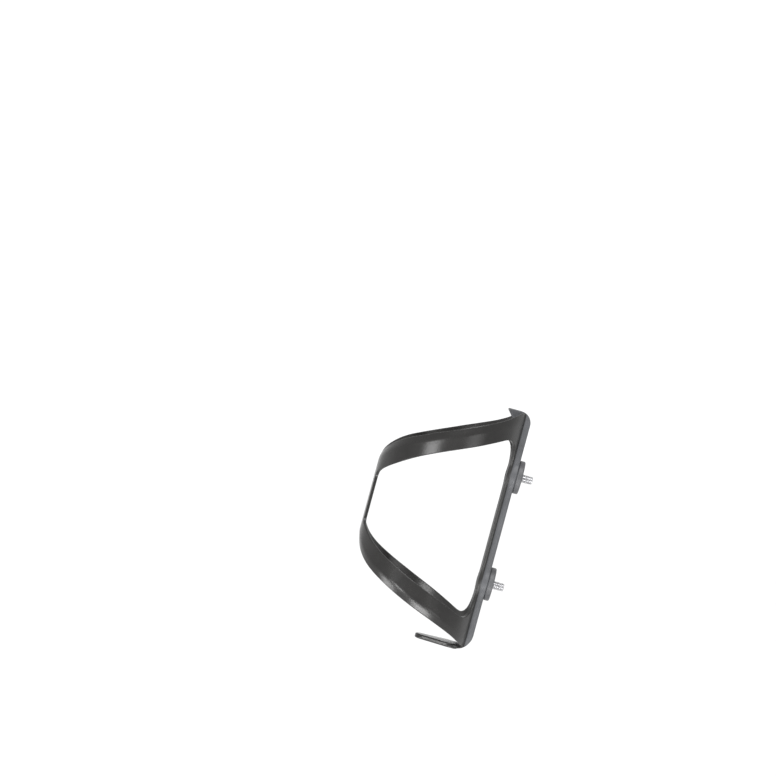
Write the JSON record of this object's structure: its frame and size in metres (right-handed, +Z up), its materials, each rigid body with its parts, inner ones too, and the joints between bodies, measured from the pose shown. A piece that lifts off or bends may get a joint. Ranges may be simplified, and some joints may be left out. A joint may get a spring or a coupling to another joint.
{
  "type": "water bottle cage",
  "caption": "Open cage that grips a drinks bottle between crossed arms joined by a front strip, with a back rail, upper hook, bottom foot, spacers and bolts.",
  "frame": {"origin": "midway between the two bolt axes, on the plane of the spacers' rear faces, where the cage meets the bicycle tube", "axes": "+Z up along the bottle, +Y towards the bicycle tube, X sideways across the cage's plane of symmetry"},
  "size_m": [0.0766, 0.0895, 0.1424],
  "materials": {
    "cage": "satin gloss, glass-filled",
    "spacer": "matte",
    "washer": "plain stainless",
    "bolt": "plain stainless"
  },
  "bodies": {
    "cage": {"cage_body": "cage", "upper_spacer": "spacer", "lower_spacer": "spacer"},
    "upper_washer_body": {"upper_washer": "washer"},
    "upper_bolt_body": {"upper_bolt": "bolt"},
    "lower_washer_body": {"lower_washer": "washer"},
    "lower_bolt_body": {"lower_bolt": "bolt"}
  },
  "joints": [
    {"name": "upper_bolt_travel", "type": "slide", "parent": "cage", "child": "upper_washer_body", "axis": [0, -1, 0], "range_m": [0, 0.0066]},
    {"name": "upper_bolt_turn", "type": "hinge", "parent": "upper_washer_body", "child": "upper_bolt_body", "pos_m": [0, -0.00542, 0.032], "axis": [0, -1, 0], "range_deg": [0, 2975]},
    {"name": "lower_bolt_travel", "type": "slide", "parent": "cage", "child": "lower_washer_body", "axis": [0, -1, 0], "range_m": [0, 0.0066]},
    {"name": "lower_bolt_turn", "type": "hinge", "parent": "lower_washer_body", "child": "lower_bolt_body", "pos_m": [0, -0.00542, -0.032], "axis": [0, -1, 0], "range_deg": [0, 2975]}
  ],
  "couplings": [
    {"joint": "upper_bolt_turn", "follows": "upper_bolt_travel", "rad_per_m": 7854},
    {"joint": "lower_bolt_turn", "follows": "lower_bolt_travel", "rad_per_m": 7854}
  ]
}
